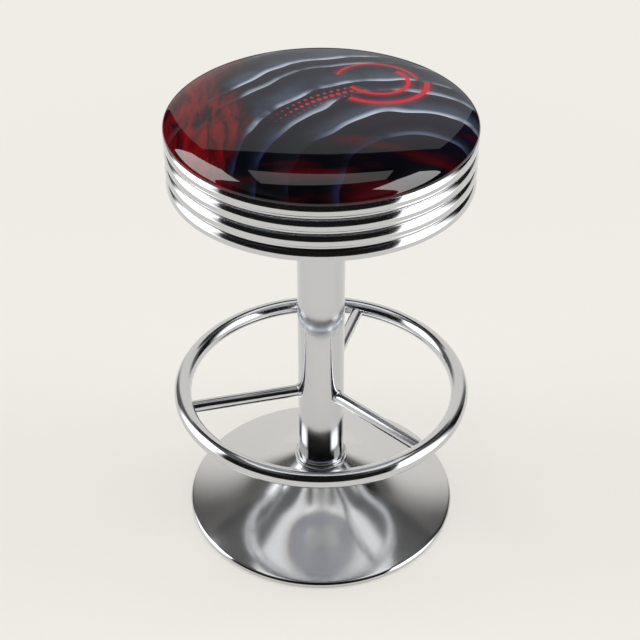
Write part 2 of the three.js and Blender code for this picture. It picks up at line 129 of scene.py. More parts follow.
class StageSettings(bpy.types.PropertyGroup):
    camera_place: place("Camera place", (-0.0014, -1.4413, 1.3646), "Where the camera stands")
    camera_tilt: angle("Camera tilt", 36.484, "How far the camera looks down from the horizon")
    camera_lens: number("Lens", 79.43, "Focal length of the camera in millimetres")
    floor_colour: colour("Floor colour", (0.871, 0.847, 0.799), "Pale floor and backdrop")
    floor_reach: length("Floor reach", 60.0, "Half the width of the floor")
    floor_shadow: share("Floor shadow", 0.66, "Share of the floor's tone that shadows can take")
    floor_light: share("Floor light", 0.78, "Light of the lamps on the open floor")
    shadow_reach: length("Shadow reach", 1.5, "How far from the stool the floor takes shadows")
    room_tone: colour("Room tone", (0.012, 0.0115, 0.011), "Dark room that the metal reflects")
    ambient: share("Ambient light", 0.4, "Even light of the room on matt surfaces")
    lamp_share: share("Lamp share", 0.2, "Light of each of the three lamps on a level surface")
    lamp_distance: length("Lamp distance", 2.4, "From the seat to each lamp")
    lamp_size: length("Lamp size", 1.2, "Width of each square lamp")
    lamp_height: angle("Lamp height", 48, "How high the two side lamps stand above the seat")
    card_distance: length("Card distance", 3.0, "From the seat to the reflector cards")
    backdrop_tone: number("Backdrop card", 0.44, "Brightness of the back card, as the seat sees it")
    left_tone: number("Left card", 4.8, "Brightness of the left card, as the seat sees it")
    right_tone: number("Right card", 5.6, "Brightness of the right card, as the seat sees it")
    top_tone: number("Overhead card", 1.0, "Brightness of the top card, as the seat sees it")
    sweep_tone: number("Sweep card", 0.87, "Brightness of the sweep behind, as the chrome sees it")
    sweep_shift: length("Sweep shift", 0.22, "How far right the middle of the sweep's light lies")
    panel_tone: number("Panel card", 1.02, "Brightness of the panel above, as the chrome sees it")
    box_tone: number("Box cards", 3.0, "Brightness of the two side boxes, as the chrome sees them")
    fill_tone: number("Fill", 0.12, "Brightness of the sweep's two sides, as the chrome sees it")
    floor_front: length("Floor front", 14.0, "How far the floor reaches in front, as metal sees it")
    side_tone: number("Side tone", 0.13, "Brightness of the room's sides, as metal sees it")
    under_tone: number("Under tone", 3.3, "Brightness of the floor that the seat's flange mirrors")
    deep_tone: number("Deep tone", 2.2, "Brightness of the room after more than two reflections")
    near_tone: number("Near tone", 0.85, "Brightness of the floor's sides after two reflections")


class CushionSettings(bpy.types.PropertyGroup):
    crown_rise: length("Crown rise", 0.027, "Height of the crown above the pad's widest line")
    crown_fullness: number("Crown fullness", 2.4, "Power that flattens the middle of the crown")
    crown_roundness: number("Crown roundness", 0.49, "Power that rounds the crown's shoulder")
    under_roll: length("Under roll", 0.0044, "How far the pad rolls in below its widest line")
    cover_thickness: length("Cover thickness", 0.0012, "Thickness of the vinyl")
    cover_gap: length("Cover gap", TOUCH_GAP, "Gap between the vinyl and the board")
    under_turn: length("Under turn", 0.024, "How far the vinyl is turned in under the board")
    segments: count("Segments", 256, "Steps round the pad")
    roll_steps: count("Roll steps", 12, "Steps from the side of the board to the widest line")
    crown_steps: count("Crown steps", 64, "Steps from the widest line to the crown")
    staple_count: count("Staples", 48, "Staples that hold the vinyl to the board")
    night: colour("Night", (0.0016, 0.0016, 0.003), "Darkest tone of the print")
    navy: colour("Navy", (0.007, 0.006, 0.019), "Deep blue of the print")
    slate: colour("Slate", (0.07, 0.097, 0.14), "Blue grey ribbons of the print")
    ember: colour("Ember", (0.2, 0.004, 0.008), "Deep red side of the print")
    signal: colour("Signal", (0.62, 0.008, 0.022), "Bright red accents of the print")
    frost: colour("Frost", (0.6, 0.68, 0.8), "Pale edges of the ribbons")
    violet: colour("Violet", (0.03, 0.035, 0.16), "Blue edges of the ribbons in front")
    maroon: colour("Maroon", (0.05, 0.002, 0.004), "Dark red wash in front")


class BandSettings(bpy.types.PropertyGroup):
    bead_count: count("Beads", 4, "Round beads of the band")
    bead_pitch: length("Bead pitch", 0.019, "Height from bead to bead")
    bead_radius: length("Bead radius", 0.0128, "Radius of each bead")
    top_turn: angle("Top turn", 45.5, "How far the top bead turns in over the pad")
    bottom_turn: angle("Bottom turn", 13.3, "How far the bottom bead turns in under the seat")
    flange_width: length("Flange width", 0.0202, "Width of the flat flange under the seat")
    sheet: length("Sheet", 0.0012, "Thickness of the band's sheet")
    segments: count("Segments", 220, "Steps round the band")
    rows: count("Rows", 190, "Steps from the flange to the top edge")
    scribe_depth: length("Scribe depth", 0.0007, "Depth of the fine line rolled into each bead")
    scribe_turn: angle("Scribe turn", -12.5, "Where on the bead the deepest part of the line runs")
    scribe_below: angle("Scribe below", 5.5, "Width of the line's lower side")
    scribe_above: angle("Scribe above", 2.6, "Width of the line's upper side")
    crease_depth: length("Crease depth", 0.0006, "Extra depth of the crease between two beads")


class ColumnSettings(bpy.types.PropertyGroup):
    wall: length("Column wall", 0.002, "Wall of the column tube")
    edge_round: length("Edge round", 0.0006, "Rounding of the column's ends")
    edge_loop: length("Edge loop", 0.002, "From each end to the loop that keeps the tube straight")
    segments: count("Segments", 160, "Steps round the column")
    weld_radius: length("Weld radius", 0.0022, "Size of the weld under the top flange")
    weld_ripples: count("Weld ripples", 88, "Ripples of the weld under the top flange")


class FootRingSettings(bpy.types.PropertyGroup):
    spoke_radius: length("Spoke radius", 0.008, "Radius of the spokes")
    spoke_azimuths: FloatVectorProperty(
        name="Spoke azimuths", description="Direction of each spoke, seen from above", size=3,
        default=[math.radians(turn) for turn in (73, 194, 316)], subtype="EULER", unit="ROTATION")
    spoke_sink: length("Spoke sink", 0.0014, "How far a spoke's end lies inside the column's face")
    weld_fillet: length("Weld fillet", 0.0011, "Size of the polished weld at the column")
    segments: count("Segments", 256, "Steps round the ring")
    tube_steps: count("Tube steps", 40, "Steps round the ring's tube and the spokes")


class BaseSettings(bpy.types.PropertyGroup):
    sheet: length("Sheet", 0.0015, "Thickness of the spun shell")
    rim_height: length("Rim height", 0.0035, "Height of the middle of the rolled rim")
    rim_roll: length("Rim roll", 0.005, "Radius of the rolled rim")
    rim_start: angle("Rim start", 68, "How far up the rim's roll runs on the outside")
    rim_turn: angle("Rim turn", 30, "How far the rim turns in below its widest line")
    neck_radius: length("Neck radius", 0.035, "Radius of the base where the collar stands")
    skirt_slope: angle("Skirt slope", 19, "Fall of the flatter skirt")
    skirt_dome: length("Skirt dome", 0.001, "How far the skirt bulges before the rim")
    dome_power: number("Dome power", 8, "How late the skirt's bulge falls off towards the rim")
    bend_radius: length("Bend radius", 0.090, "Radius where the neck cone meets the skirt")
    bend_softness: length("Bend softness", 0.009, "How softly the neck cone meets the skirt")
    flare_steps: count("Flare steps", 96, "Steps from the neck to the rim")
    segments: count("Segments", 256, "Steps round the base")
    collar_lip: length("Collar lip", 0.0008, "How far the collar stands proud of the neck")
    collar_step: length("Collar step", 0.0028, "Width of the step in the collar")
    collar_edge: length("Collar edge", 0.0006, "Rounding of the collar's two edges")
    collar_spigot: length("Collar spigot", 0.010, "Depth of the collar inside the neck")


class FittingSettings(bpy.types.PropertyGroup):
    staple_wire: length("Staple wire", 0.0012, "Width of a staple's wire")
    staple_width: length("Staple width", 0.010, "Length of a staple's back")
    staple_inset: length("Staple inset", 0.0045, "From the inner edge of the vinyl to the staples")
    band_screw_radius: length("Band screw radius", 0.002, "Radius of the band screws")
    cross_width: length("Cross width", 0.0009, "Width of the cross in the screw heads")
    bolt_radius: length("Bolt radius", 0.003, "Radius of the swivel's bolts")
    bolt_across: length("Bolt across flats", 0.010, "Width of the bolt heads")
    bolt_head: length("Bolt head", 0.004, "Height of the bolt heads")
    bolt_edge: length("Bolt edge", 0.0006, "Chamfer of the bolts")
    plate_edge: length("Plate edge", 0.0005, "Rounding of the plates and nuts")
    casting_edge: length("Casting edge", 0.002, "Rounding of the ballast")
    rubber_edge: length("Rubber edge", 0.0008, "Rounding of the floor ring")


def reckoned(operation):
    """A method that adds a math node for the operation."""
    return lambda value, other: value.graph.math(operation, value, other)


class Value:
    """A socket of a node tree that can be reckoned with like a number. Where it is compared, the
    outcome is 1 or 0, and most and least give the greater and the smaller of two values."""

    def __init__(self, graph, socket):
        self.graph = graph
        self.socket = socket

    __add__ = reckoned("ADD")
    __sub__ = reckoned("SUBTRACT")
    __mul__ = reckoned("MULTIPLY")
    __truediv__ = reckoned("DIVIDE")
    __pow__ = reckoned("POWER")
    __gt__ = reckoned("GREATER_THAN")
    __lt__ = reckoned("LESS_THAN")
    most = reckoned("MAXIMUM")
    least = reckoned("MINIMUM")

    def __rsub__(self, other):
        return self.graph.math("SUBTRACT", other, self)

    def __rtruediv__(self, other):
        return self.graph.math("DIVIDE", other, self)

    def __neg__(self):
        return self * -1.0

    def __abs__(self):
        return self.graph.math("ABSOLUTE", self)


class Graph:
    """Builds a node tree: a socket is linked to an input, and any other value is set on it."""

    def __init__(self, tree):
        self.tree = tree

    def feed(self, socket, value):
        value = getattr(value, "socket", value)
        if isinstance(value, bpy.types.NodeSocket):
            self.tree.links.new(value, socket)
        else:
            socket.default_value = value

    def add(self, kind, values=(), **settings):
        node = self.tree.nodes.new(kind)
        for key, value in settings.items():
            setattr(node, key, value)
        for key, value in values.items() if isinstance(values, dict) else enumerate(values):
            self.feed(node.inputs[key], value)
        return node

    def made(self, kind, values=(), output=0, **settings):
        """One output of a new node."""
        return Value(self, self.add(kind, values, **settings).outputs[output])

    def read(self, kind):
        """All outputs of a new node, by name."""
        return {socket.name: Value(self, socket) for socket in self.add(kind).outputs}

    def math(self, operation, *values, clamp=False):
        return self.made("ShaderNodeMath", values, operation=operation, use_clamp=clamp)

    def vector(self, operation, *values):
        return self.made("ShaderNodeVectorMath", values, operation=operation)

    def distance(self, first, second=(0.0, 0.0, 0.0)):
        return self.made("ShaderNodeVectorMath", (first, second), "Value", operation="DISTANCE")

    def parts(self, vector):
        node = self.add("ShaderNodeSeparateXYZ", (vector,))
        return [Value(self, socket) for socket in node.outputs]

    def whole(self, x=0.0, y=0.0, z=0.0):
        return self.made("ShaderNodeCombineXYZ", (x, y, z))

    def fade(self, value, start, end, low=0.0, high=1.0):
        """A soft step from one value to another while the input goes from start to end."""
        return self.made("ShaderNodeMapRange", (value, start, end, low, high),
                         interpolation_type="SMOOTHSTEP")

    def blend(self, amount, first, second):
        """A mix of two colours, whose sockets go by number as several share a name."""
        ends = [end if isinstance(end, Value) else (*end, 1.0) for end in (first, second)]
        return self.made("ShaderNodeMix", {0: amount, 6: ends[0], 7: ends[1]}, output=2,
                         data_type="RGBA")

    def noise(self, vector, scale, detail=2.0, roughness=0.5, distortion=0.0):
        return self.made("ShaderNodeTexNoise", {
            "Vector": vector, "Scale": scale, "Detail": detail, "Roughness": roughness,
            "Distortion": distortion})

    def bump(self, height, depth, strength=1.0):
        return self.made("ShaderNodeBump", {
            "Height": height, "Distance": depth, "Strength": strength})


def fresh_graph(owner):
    """The emptied node tree of a material or of the world."""
    owner.use_nodes = True
    owner.node_tree.nodes.clear()
    return Graph(owner.node_tree)


def surface(name):
    """A new material with an empty graph, and the coordinates that its pattern reads."""
    material = bpy.data.materials.new(FINISH_PREFIX + name)
    graph = fresh_graph(material)
    return material, graph, graph.made("ShaderNodeTexCoord", output="Object")


def with_shader(material, graph, values):
    """The material, ended with a shader that takes the values by the names of its inputs."""
    shader = graph.made("ShaderNodeBsdfPrincipled", values)
    graph.add("ShaderNodeOutputMaterial", {"Surface": shader})
    return material


def polished_metal(name, tint, smooth, rough, peel):
    """Bright plated metal: wiped patches in its gloss and a faint unevenness of the plate."""
    material, graph, where = surface(name)
    wiped = graph.noise(where, scale=28.0, detail=4.0, roughness=0.6)
    uneven = graph.noise(where, scale=55.0, detail=1.0)
    return with_shader(material, graph, {
        "Base Color": (*tint, 1.0), "Metallic": 1.0,
        "Roughness": graph.fade(wiped, 0.35, 0.7, smooth, rough),
        "Normal": graph.bump(uneven, peel)})


def chrome():
    return polished_metal("chrome", (0.625, 0.635, 0.655), smooth=0.09, rough=0.12, peel=0.00002)


def base_chrome():
    """Spun chrome: soft on the flare with faint rings from the polishing, bright on the rim."""
    material, graph, where = surface("base_chrome")
    roll = bpy.context.scene.stool_base.rim_roll
    x, y, _ = graph.parts(where)
    radius = graph.distance(graph.whole(x, y))
    rim = graph.fade(radius, BASE_RADIUS - 1.25 * roll, BASE_RADIUS - 0.5 * roll)
    wiped = graph.noise(where, scale=18.0, detail=4.0, roughness=0.6)
    rings = graph.noise(graph.whole(radius), scale=2600.0, detail=3.0)
    return with_shader(material, graph, {
        "Base Color": (0.64, 0.645, 0.655, 1.0), "Metallic": 1.0,
        "Roughness": graph.fade(wiped, 0.3, 0.7, 0.12, 0.16) * graph.fade(rim, 0.0, 1.0, 1.0, 0.35),
        "Normal": graph.bump(rings, depth=0.000004, strength=0.5)})


def matt_metal(name, tint, shade, gloss, grain, metallic=1.0, scale=240.0):
    """Plated, cast or painted steel: mottled tone, uneven gloss and a fine grain."""
    material, graph, where = surface(name)
    mottle = graph.noise(where, scale, detail=5.0, roughness=0.65)
    fine = graph.noise(where, scale * 8, detail=3.0)
    return with_shader(material, graph, {
        "Base Color": graph.blend(graph.fade(mottle, 0.3, 0.7), shade, tint), "Metallic": metallic,
        "Roughness": graph.fade(mottle, 0.3, 0.7, gloss * 0.8, gloss * 1.2),
        "Normal": graph.bump(fine, grain)})


def zinc_steel():
    return matt_metal("zinc_steel", (0.62, 0.62, 0.56), (0.46, 0.46, 0.44), gloss=0.34,
                      grain=0.00002)


def bearing_steel():
    return polished_metal("bearing_steel", (0.68, 0.69, 0.71), smooth=0.08, rough=0.14,
                          peel=0.00001)


def black_steel():
    return matt_metal("black_steel", (0.03, 0.031, 0.034), (0.018, 0.018, 0.02), gloss=0.42,
                      grain=0.00004, metallic=0.0)


def cast_iron():
    return matt_metal("cast_iron", (0.055, 0.055, 0.06), (0.028, 0.027, 0.028), gloss=0.7,
                      grain=0.0003, metallic=0.2, scale=90.0)


def rubber():
    return matt_metal("rubber", (0.021, 0.021, 0.022), (0.014, 0.014, 0.015), gloss=0.75,
                      grain=0.0001, metallic=0.0)


def pale_board():
    """Plywood with a pale laminate on its under face: faint flecks under a dull sheen."""
    material, graph, where = surface("plywood")
    laminate, ply = 0.001, 0.0015
    x, y, z = graph.parts(where)
    grain = graph.noise(graph.whole(x * 0.12, y, z), scale=160.0, detail=5.0, roughness=0.6)
    flecks = graph.fade(grain, 0.35, 0.7)
    flecked = graph.blend(flecks, (0.46, 0.485, 0.57), (0.41, 0.435, 0.52))
    plies = graph.fade(graph.math("PINGPONG", z - BOARD_BOTTOM, ply), 0.4 * ply, 0.6 * ply)
    wood = graph.blend(plies, (0.52, 0.36, 0.2), (0.34, 0.21, 0.11))
    side = graph.fade(z, BOARD_BOTTOM + 0.8 * laminate, BOARD_BOTTOM + 1.2 * laminate)
    return with_shader(material, graph, {
        "Base Color": graph.blend(side, flecked, wood), "IOR": 1.65,
        "Roughness": graph.fade(grain, 0.3, 0.7, 0.16, 0.22),
        "Normal": graph.bump(grain, depth=0.00001)})


# The print is laid out in shares of the seat's radius, from the seat's middle, with y to the back.
# Ribbons: start, end and strength of each, round their own middle.
RIBBON_MIDDLE = (0.62, -0.86, 0.0)
RIBBONS = (
    (0.50, 0.62, 0.5), (0.76, 0.95, 1.0), (0.99, 1.12, 0.7), (1.16, 1.42, 1.0), (1.46, 1.54, 0.6),
    (1.60, 1.86, 1.0), (1.90, 2.10, 0.6),
)
RIBBON_EDGE, RIBBON_LIP, RIBBON_WANDER = 0.006, 0.055, 0.3
# Dots: inner and outer row, distance from row to row, and turn from dot to dot.
DOT_ROWS = (0.99, 1.22)
DOT_PITCH, DOT_TURN = 0.05, 0.044
# Hoops: radius and half width, then where each starts and stops as it turns.
HOOP_MIDDLE = (0.36, 0.30, 0.0)
HOOP_ENDS = 0.04
HOOPS = ((0.20, 0.012, -2.6, 0.9), (0.265, 0.007, 0.2, 2.9), (0.32, 0.016, -2.2, 0.1))


def printed_vinyl():
    """A generic print of curved ribbons, a red side, rows of dots and hoops, under a gloss coat."""
    material, graph, where = surface("printed_vinyl")
    settings = bpy.context.scene.stool_cushion
    flat = graph.vector("DIVIDE", where, (COVER_RADIUS, COVER_RADIUS, 1.0e6))
    x, y, _ = graph.parts(flat)
    wander = graph.noise(flat, scale=1.3) - 0.5
    reach = graph.distance(flat, RIBBON_MIDDLE)
    wash = graph.noise(graph.vector("MULTIPLY", flat, (0.6, 2.2, 1.0)), scale=1.9, detail=3.0)
    wash = graph.fade(wash, 0.47, 0.66) * graph.fade(y, -0.1, -0.35)
    tone = graph.blend(graph.fade(y, -0.9, 0.3), settings.night, settings.navy)
    tone = graph.blend(wash, tone, settings.maroon)
    tone = ribbons(graph, settings, flat, y, reach + wander * RIBBON_WANDER, tone)
    streak = graph.noise(graph.vector("MULTIPLY", flat, (11.0, 2.6, 1.0)), scale=1.0, detail=5.0,
                         roughness=0.65, distortion=0.8)
    tongue = x + wander * 0.9
    glow = graph.fade(tongue, -0.42, -0.62) * graph.fade(streak, 0.34, 0.66, 0.05, 1.0)
    tone = graph.blend(graph.fade(tongue, -0.4, -0.5, 0.0, 0.92), tone, settings.night)
    tone = graph.blend(glow, tone, settings.ember)
    tone = graph.blend(dot_rows(graph, flat, reach), tone, settings.signal)
    tone = graph.blend(hoops(graph, flat), tone, settings.signal)
    soft = graph.noise(where, scale=16.0, detail=1.5)
    return with_shader(material, graph, {
        "Base Color": tone, "Roughness": 0.5, "Specular IOR Level": 0.0, "Coat Weight": 1.0,
        "Coat Roughness": 0.025, "Coat IOR": 1.5, "Coat Normal": graph.bump(soft, depth=0.00012)})


def ribbons(graph, settings, flat, y, bent, tone):
    """Curved ribbons with a crisp pale edge that fall off into the dark, dimmer in front."""
    cloud = graph.noise(flat, scale=2.2, detail=3.0, roughness=0.55)
    edge_tone = graph.blend(graph.fade(y, -0.5, -0.2), settings.violet, settings.frost)
    patchy = graph.fade(cloud, 0.34, 0.62, 0.25, 1.0) * graph.fade(y, -0.75, 0.0, 0.12, 1.0)
    sheen = graph.fade(cloud, 0.38, 0.55) * graph.fade(y, -0.9, 0.0, 0.5, 1.0)
    for start, end, strength in RIBBONS:
        edge = graph.fade(bent, start, start + RIBBON_EDGE)
        body = edge * graph.fade(bent, start, end, 1.0, 0.0)
        tone = graph.blend(body * patchy * strength, tone, settings.slate)
        lip = edge * graph.fade(bent, start, start + RIBBON_LIP, 1.0, 0.0)
        tone = graph.blend(lip * sheen * strength, tone, edge_tone)
    return tone


def dot_rows(graph, flat, reach):
    """Rows of dots on arcs, large in the middle of the fan and small at its ends."""
    x, y, _ = graph.parts(graph.vector("SUBTRACT", flat, RIBBON_MIDDLE))
    turn = graph.math("ARCTAN2", y, x)
    row = reach / DOT_PITCH
    across = graph.math("FRACT", row) - 0.5
    along = graph.math("FRACT", turn / DOT_TURN + graph.math("FLOOR", row) * 0.5) - 0.5
    off = graph.distance(graph.whole(across, along))
    inner, outer = DOT_ROWS
    largest = inner + 0.08
    size = graph.fade(reach, inner, largest, 0.0, 0.36)
    size = size * graph.fade(reach, largest, outer, 1.0, 0.0)
    size = size * graph.fade(turn, 1.85, 2.05) * graph.fade(turn, 2.2, 2.7, 1.0, 0.0)
    return graph.fade(size - off, -0.02, 0.06)


def hoops(graph, flat):
    """Open rings round one middle, each broken over a part of its turn, with a soft glow."""
    arm = graph.vector("SUBTRACT", flat, HOOP_MIDDLE)
    x, y, _ = graph.parts(arm)
    turn = graph.math("ARCTAN2", y, x)
    reach = graph.distance(arm)
    amount = 0.0
    for radius, half, start, stop in HOOPS:
        off = abs(reach - radius)
        line = graph.fade(off, half, half + 0.005, 1.0, 0.0)
        glow = graph.fade(off, half, half + 0.05, 0.22, 0.0)
        drawn = graph.fade(turn, start, start + HOOP_ENDS)
        drawn = drawn * graph.fade(turn, stop - HOOP_ENDS, stop, 1.0, 0.0)
        amount = (line.most(glow) * drawn).most(amount)
    return amount


FINISHES = {
    "chrome": chrome, "base_chrome": base_chrome, "zinc_steel": zinc_steel,
    "bearing_steel": bearing_steel, "black_steel": black_steel, "cast_iron": cast_iron,
    "rubber": rubber, "printed_vinyl": printed_vinyl, "plywood": pale_board,
}


def finish(slot):
    """The material of a slot of the record, made on its first use."""
    return bpy.data.materials.get(FINISH_PREFIX + slot) or FINISHES[slot]()


def arc(centre_radius, centre_height, radius, start, end, steps):
    """Points of an arc in the profile plane, from one angle to another."""
    turns = [start + (end - start) * i / steps for i in range(steps + 1)]
    return [(centre_radius + radius * math.cos(turn), centre_height + radius * math.sin(turn))
            for turn in turns]


def beside(points, distance):
    """The open profile moved sideways, to the left of its direction of travel."""
    moved = []
    for i, (radius, height) in enumerate(points):
        before = Vector(points[max(i - 1, 0)])
        along = (Vector(points[min(i + 1, len(points) - 1)]) - before).normalized()
        moved.append((radius - distance * along.y, height + distance * along.x))
    return moved


def turned(profile, segments):
    """A closed form turned about Z from a closed outline of (radius, height) points."""
    shape = bmesh.new()
    rings = []
    turns = [2 * math.pi * i / segments for i in range(segments)]
    for radius, height in profile:
        rings.append([shape.verts.new((radius * math.cos(turn), radius * math.sin(turn), height))
                      for turn in (turns if radius else turns[:1])])
    for first, second in zip(rings, rings[1:] + rings[:1]):
        if len(first) == len(second) == 1:
            continue
        for i in range(segments):
            after = (i + 1) % segments
            corners = [first[i % len(first)], first[after % len(first)],
                       second[after % len(second)], second[i % len(second)]]
            shape.faces.new(list(dict.fromkeys(corners)))
    return shape


def to_mesh(shape, name, sharp=40.0):
    """Turns a bmesh into a smooth mesh whose faces point out and whose sharp edges stay crisp."""
    bmesh.ops.recalc_face_normals(shape, faces=shape.faces)
    mesh = bpy.data.meshes.new(name)
    shape.to_mesh(mesh)
    shape.free()
    mesh.shade_smooth()
    mesh.set_sharp_from_angle(angle=math.radians(sharp))
    return mesh


def add_object(name, mesh):
    piece = bpy.data.objects.new(name, mesh)
    bpy.context.scene.collection.objects.link(piece)
    return piece


def add_piece(name, mesh, body, slot, *nodes):
    """A finished piece: it takes a slot's material, rides on a body and stands for its nodes."""
    piece = add_object(name, mesh)
    mesh.materials.clear()
    mesh.materials.append(finish(slot))
    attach(piece, body)
    if nodes:
        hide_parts(*nodes)
    return piece


def receivers(name):
    """The list of pieces that the cushion's cards reach, or that the chrome's cards leave out."""
    name = "cards_of_" + name
    return bpy.data.collections.get(name) or bpy.data.collections.new(name)


def sees_cushion_cards(piece):
    for name, state in (("cushion", "INCLUDE"), ("stool", "EXCLUDE")):
        group = receivers(name)
        group.objects.link(piece)
        group.collection_objects[-1].light_linking.link_state = state


SOCKET_KINDS = {
    int: "NodeSocketInt", float: "NodeSocketFloat", bpy.types.Object: "NodeSocketObject",
    bpy.types.Material: "NodeSocketMaterial",
}


def geometry_tree(build, values):
    """A geometry tree with an input for each value, which ends as a mesh with its material."""
    tree = bpy.data.node_groups.new(build.__name__, "GeometryNodeTree")
    tree.interface.new_socket("Geometry", in_out="OUTPUT", socket_type="NodeSocketGeometry")
    for label, value in values.items():
        kind = next(kind for sort, kind in SOCKET_KINDS.items() if isinstance(value, sort))
        tree.interface.new_socket(label, in_out="INPUT", socket_type=kind)
    graph = Graph(tree)
    given = graph.read("NodeGroupInput")
    real = graph.made("GeometryNodeRealizeInstances", {"Geometry": build(graph, given)})
    made = graph.made("GeometryNodeSetMaterial", {"Geometry": real, "Material": given["Material"]})
    graph.add("NodeGroupOutput", {"Geometry": made})
    return tree


def evaluated(piece):
    """The plain mesh of a helper object with its modifiers applied, which removes the helper."""
    depsgraph = bpy.context.evaluated_depsgraph_get()
    mesh = bpy.data.meshes.new_from_object(piece.evaluated_get(depsgraph), depsgraph=depsgraph)
    piece.modifiers.clear()
    bpy.data.objects.remove(piece)
    return mesh


def grown(name, build, values):
    """The plain mesh that a geometry tree makes of the values given to its named inputs."""
    tree = bpy.data.node_groups.get(build.__name__) or geometry_tree(build, values)
    seed = add_object(name, bpy.data.meshes.new(name))
    modifier = seed.modifiers.new(name, "NODES")
    modifier.node_group = tree
    for item in tree.interface.items_tree:
        if item.name in values:
            modifier[item.identifier] = values[item.name]
    return evaluated(seed)


def copies_in_a_ring(graph, given):
    """Copies of one object set round a circle, each turned to face outwards."""
    points = graph.made("GeometryNodePoints", (given["Count"],))
    step = 2 * math.pi / given["Count"]
    turn = graph.made("GeometryNodeInputIndex") * step + given["Start"]
    spot = graph.whole(graph.math("COSINE", turn) * given["Radius"],
                       graph.math("SINE", turn) * given["Radius"], given["Height"])
    placed = graph.made("GeometryNodeSetPosition", {"Geometry": points, "Position": spot})
    wobble = given["Wobble"]
    # The random value's sockets go by number, as several share a name.
    chance = graph.made("FunctionNodeRandomValue", {
        2: -wobble, 3: wobble, "Seed": given["Seed"]}, output=1, data_type="FLOAT")
    copy = graph.made("GeometryNodeObjectInfo", {"Object": given["Copy"]}, "Geometry")
    return graph.made("GeometryNodeInstanceOnPoints", {
        "Points": placed, "Instance": copy, "Rotation": graph.whole(z=turn + chance)})


def ring_of_copies(name, mesh, slot, body, how_many, radius, height, start=0.0, wobble=0.0,
                   nodes=()):
    """One piece that holds copies of a small mesh round the swivel axis."""
    sample = add_object(name + "_sample", mesh)
    made = grown(name, copies_in_a_ring, {
        "Count": how_many, "Radius": radius, "Height": height, "Start": start, "Wobble": wobble,
        "Seed": 7, "Copy": sample, "Material": finish(slot)})
    bpy.data.objects.remove(sample)
    return add_piece(name, made, body, slot, *nodes)


def rolled_beads(graph, given):
    """The ribbed band: rows of a flat grid rolled round the axis, over a flange and the beads."""
    grid = graph.made("GeometryNodeMeshGrid", (
        1.0, 1.0, given["Segments"] + 1.0, given["Rows"] + 1.0))
    u, v, _ = graph.parts(graph.made("GeometryNodeInputPosition"))
    turn = (u + 0.5) * (2 * math.pi)
    bead_radius, half_bead, bottom_turn = (
        given[label] for label in ("Bead Radius", "Half Bead", "Bottom Turn"))
    whole_bead = half_bead * 2.0
    last = given["Bead Count"] - 1.0
    flat_share = given["Flange Width"] / bead_radius
    travel = last * whole_bead + given["Top Turn"] + bottom_turn + flat_share
    past = (v + 0.5) * travel - flat_share
    on_flange = past.least(0.0) * bead_radius
    lean = past.most(0.0) - bottom_turn
    bead = graph.math("FLOOR", (lean + half_bead) / whole_bead).least(last).most(0.0)
    own = lean - bead * whole_bead
    deepest, width_below, width_above = (
        given["Scribe " + label] for label in ("Turn", "Below", "Above"))
    step = travel / given["Rows"]
    for target in (deepest - width_below, deepest, deepest + width_above, -half_bead, half_bead):
        own = snapped(own, target, step)
    from_deep = own - deepest
    off = (-from_deep / width_below).most(from_deep / width_above)
    scribe = graph.math("SUBTRACT", 1.0, off, clamp=True)
    crease = graph.fade(abs(own) / half_bead, 0.9, 1.0) ** 2.0
    girth = bead_radius - scribe * given["Scribe Depth"] - crease * given["Crease Depth"]
    radius = given["Centre Radius"] + graph.math("COSINE", own) * girth + on_flange
    height = bead * given["Bead Pitch"] + given["First Bead"] + graph.math("SINE", own) * girth
    spot = graph.whole(graph.math("COSINE", turn) * radius, graph.math("SINE", turn) * radius,
                       height)
    placed = graph.made("GeometryNodeSetPosition", {"Geometry": grid, "Position": spot})
    return graph.made("GeometryNodeMergeByDistance", {"Geometry": placed, "Distance": 0.00001})


def snapped(value, target, step):
    """Moves the one row that lies within half a step of a target onto it."""
    off = value - target
    return value - off * (abs(off) < step * 0.5)


def solidified(piece, thickness):
    """Gives a sheet its wall on the inner side, with the outer face where it is."""
    wall = piece.modifiers.new("wall", "SOLIDIFY")
    wall.thickness = thickness
    wall.offset = -1.0
    wall.use_even_offset = True


def cut(mesh, tool):
    """The first mesh with the second one cut out of it."""
    whole, cutter = add_object(mesh.name, mesh), add_object(tool.name, tool)
    modifier = whole.modifiers.new("cut", "BOOLEAN")
    modifier.operation = "DIFFERENCE"
    modifier.object = cutter
    shape = bmesh.new()
    shape.from_mesh(evaluated(whole))
    bpy.data.objects.remove(cutter)
    return to_mesh(shape, mesh.name, 30.0)


def rounded(node, width):
    """A copy of a node's mesh, where it stands, with its sharp edges rounded."""
    shape = bmesh.new()
    shape.from_mesh(node.data)
    bmesh.ops.transform(shape, matrix=node.matrix_world, verts=shape.verts)
    bmesh.ops.remove_doubles(shape, verts=shape.verts, dist=0.00001)
    bmesh.ops.dissolve_limit(shape, angle_limit=math.radians(1), verts=shape.verts,
                             edges=shape.edges)
    sharp = [edge for edge in shape.edges
             if edge.is_manifold and edge.calc_face_angle(0.0) > math.radians(50)]
    bmesh.ops.bevel(shape, geom=sharp, offset=width, segments=2, affect="EDGES",
                    clamp_overlap=True)
    return to_mesh(shape, node.name, 20.0)


# What metal shows of the floor when it is itself seen in metal. Turns run from straight behind to
# the front, and distances are from the swivel axis. This is where the floor's sides begin.
SIDE_TURNS = (0.87, 0.98)
# The bright patch on each side: where it begins, where it ends, and how far out it fades.
BOX_START_LEFT, BOX_START_RIGHT = 0.95, 1.33
BOX_END_TURNS = (1.9, 2.05)
BOX_REACH = (0.5, 0.7)
# The floor under the seat, as the seat's flange mirrors it in long rays: it brightens towards the
# front, and is dim past the foot ring.
UNDER_REACH = 0.5
UNDER_RAY = 0.45
UNDER_FRONT = (-0.12, -0.24)
UNDER_END = (-0.281, -0.295)


